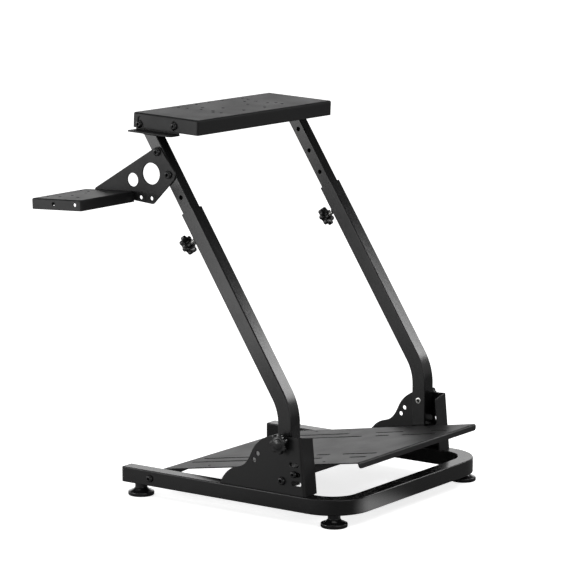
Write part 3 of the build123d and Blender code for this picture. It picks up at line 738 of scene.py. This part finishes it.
link(floor_tree, painted_floor_shade.outputs["Result"], floor_colour.inputs[7])
link(floor_tree, floor_colour.outputs[2], floor_shader.inputs["Base Color"])
# Painted pool of light: a glow in front of the stand that only mirrored rays see, though no lamp is there.
from_painted_pool = put(floor_tree, "ShaderNodeVectorMath", operation="DISTANCE")
from_painted_pool.inputs[1].default_value = PAINTED_POOL
link(floor_tree, floor_place.outputs["Object"], from_painted_pool.inputs[0])
painted_pool = put(floor_tree, "ShaderNodeMapRange", From_Min=0.02, From_Max=0.14, To_Min=2.4, To_Max=0.0)
link(floor_tree, from_painted_pool.outputs["Value"], painted_pool.inputs["Value"])
painted_pool_seen = put(floor_tree, "ShaderNodeMath", operation="MULTIPLY")
link(floor_tree, floor_path.outputs["Is Glossy Ray"], painted_pool_seen.inputs[0])
link(floor_tree, painted_pool.outputs["Result"], painted_pool_seen.inputs[1])
# White glow for the eye, plus the painted pool of light in mirrored rays.
glow_and_painted_pool = put(floor_tree, "ShaderNodeMath", operation="MULTIPLY_ADD")
glow_and_painted_pool.inputs[1].default_value = FLOOR_GLOW
link(floor_tree, floor_path.outputs["Is Camera Ray"], glow_and_painted_pool.inputs[0])
link(floor_tree, painted_pool_seen.outputs["Value"], glow_and_painted_pool.inputs[2])
link(floor_tree, glow_and_painted_pool.outputs["Value"], floor_shader.inputs["Emission Strength"])
floor_data.materials.append(floor_paint)

# Studio light
# A white backdrop behind the stand in a dim room with a pale window in front.
# Soft boxes hang overhead, at the right and at the front left.
WINDOW = (0.25, 0.94, 0.24)
ROOM_LIGHT = 0.6
world = bpy.data.worlds.new("studio")
bpy.context.scene.world = world
world.use_nodes = True
sky = world.node_tree
sky_light = sky.nodes["Background"]
sky_light.inputs["Color"].default_value = (1, 1, 1, 1)
path = put(sky, "ShaderNodeLightPath")
direction = put(sky, "ShaderNodeTexCoord")
split = put(sky, "ShaderNodeSeparateXYZ")
link(sky, direction.outputs["Generated"], split.inputs["Vector"])
rear = put(sky, "ShaderNodeMapRange", From_Min=0.3, From_Max=-0.4, To_Min=0.4, To_Max=1.75)
link(sky, split.outputs["Y"], rear.inputs["Value"])
low_part = put(sky, "ShaderNodeMapRange", From_Min=0.18, From_Max=0.42, To_Min=1.0, To_Max=0.08)
link(sky, split.outputs["Z"], low_part.inputs["Value"])
backdrop = put(sky, "ShaderNodeMath", operation="MULTIPLY")
link(sky, rear.outputs["Result"], backdrop.inputs[0])
link(sky, low_part.outputs["Result"], backdrop.inputs[1])
toward_window = put(sky, "ShaderNodeVectorMath", operation="DOT_PRODUCT")
toward_window.inputs[1].default_value = WINDOW
link(sky, direction.outputs["Generated"], toward_window.inputs[0])
window = put(sky, "ShaderNodeMapRange", From_Min=0.84, From_Max=0.96, To_Min=0.0, To_Max=1.4)
link(sky, toward_window.outputs["Value"], window.inputs["Value"])
room = put(sky, "ShaderNodeMath", operation="ADD")
link(sky, backdrop.outputs["Value"], room.inputs[0])
link(sky, window.outputs["Result"], room.inputs[1])
shown = put(sky, "ShaderNodeMix", data_type="FLOAT")
link(sky, path.outputs["Is Glossy Ray"], shown.inputs["Factor"])
shown.inputs[2].default_value = ROOM_LIGHT
link(sky, room.outputs["Value"], shown.inputs[3])
through = put(sky, "ShaderNodeMath", operation="MAXIMUM")
link(sky, path.outputs["Is Camera Ray"], through.inputs[0])
link(sky, path.outputs["Is Transmission Ray"], through.inputs[1])
seen = put(sky, "ShaderNodeMix", data_type="FLOAT")
link(sky, through.outputs["Value"], seen.inputs["Factor"])
link(sky, shown.outputs[0], seen.inputs[2])
seen.inputs[3].default_value = 1.0
link(sky, seen.outputs[0], sky_light.inputs["Strength"])


def soft_box(name, place, target, width, height, radiance, spread=180.0):
    """A rectangular lamp turned to a target, with its brightness given for its face."""
    data = bpy.data.lights.new(name, "AREA")
    data.shape = "RECTANGLE"
    data.size, data.size_y = width, height
    data.energy = radiance * pi * width * height
    data.spread = radians(spread)
    lamp = bpy.data.objects.new(name, data)
    lamp.location = place
    lamp.rotation_mode = "QUATERNION"
    lamp.rotation_quaternion = (Vector(target) - Vector(place)).to_track_quat("-Z", "Y")
    lamp.visible_camera = False
    bpy.context.scene.collection.objects.link(lamp)


soft_box("top_box", (0.0, 0.0, 2.6), (0.0, 0.0, 0.0), 2.0, 2.0, 1.2)
soft_box("right_low_box", (1.2, -0.64, 0.34), (0.1, 0.0, 0.35), 0.3, 0.56, 3.0)
soft_box("right_high_box", (1.2, -1.08, 0.64), (0.1, -0.2, 0.6), 0.64, 0.42, 3.6)
soft_box("front_box", (-1.05, 0.75, 0.79), (0.0, 0.15, 0.02), 0.5, 0.42, 1.3, spread=70.0)

# Camera
# A long lens from the front right, a little above the stand.
# Its place and angles were fitted to the stand's edges in the photo.
SENSOR, LENS = 36.0, 180.28
AZIMUTH, ELEVATION, ROLL = radians(125.4535), radians(9.848), radians(0.0963)
EYE = Vector((4.368164, 3.156445, 1.329331))
camera_data = bpy.data.cameras.new("camera")
camera_data.sensor_width = SENSOR
camera_data.lens = LENS
camera_data.clip_end = 100.0
camera = bpy.data.objects.new("camera", camera_data)
backward = Vector((sin(AZIMUTH) * cos(ELEVATION), -cos(AZIMUTH) * cos(ELEVATION), sin(ELEVATION)))
camera.rotation_mode = "QUATERNION"
camera.rotation_quaternion = (-backward).to_track_quat("-Z", "Y") @ Quaternion((0, 0, 1), ROLL)
camera.location = EYE
bpy.context.scene.collection.objects.link(camera)
bpy.context.scene.camera = camera
bpy.context.scene.view_settings.view_transform = "Standard"

# Size
# The dressed model's box, leaving out the floor and hidden parts.
low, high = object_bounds()
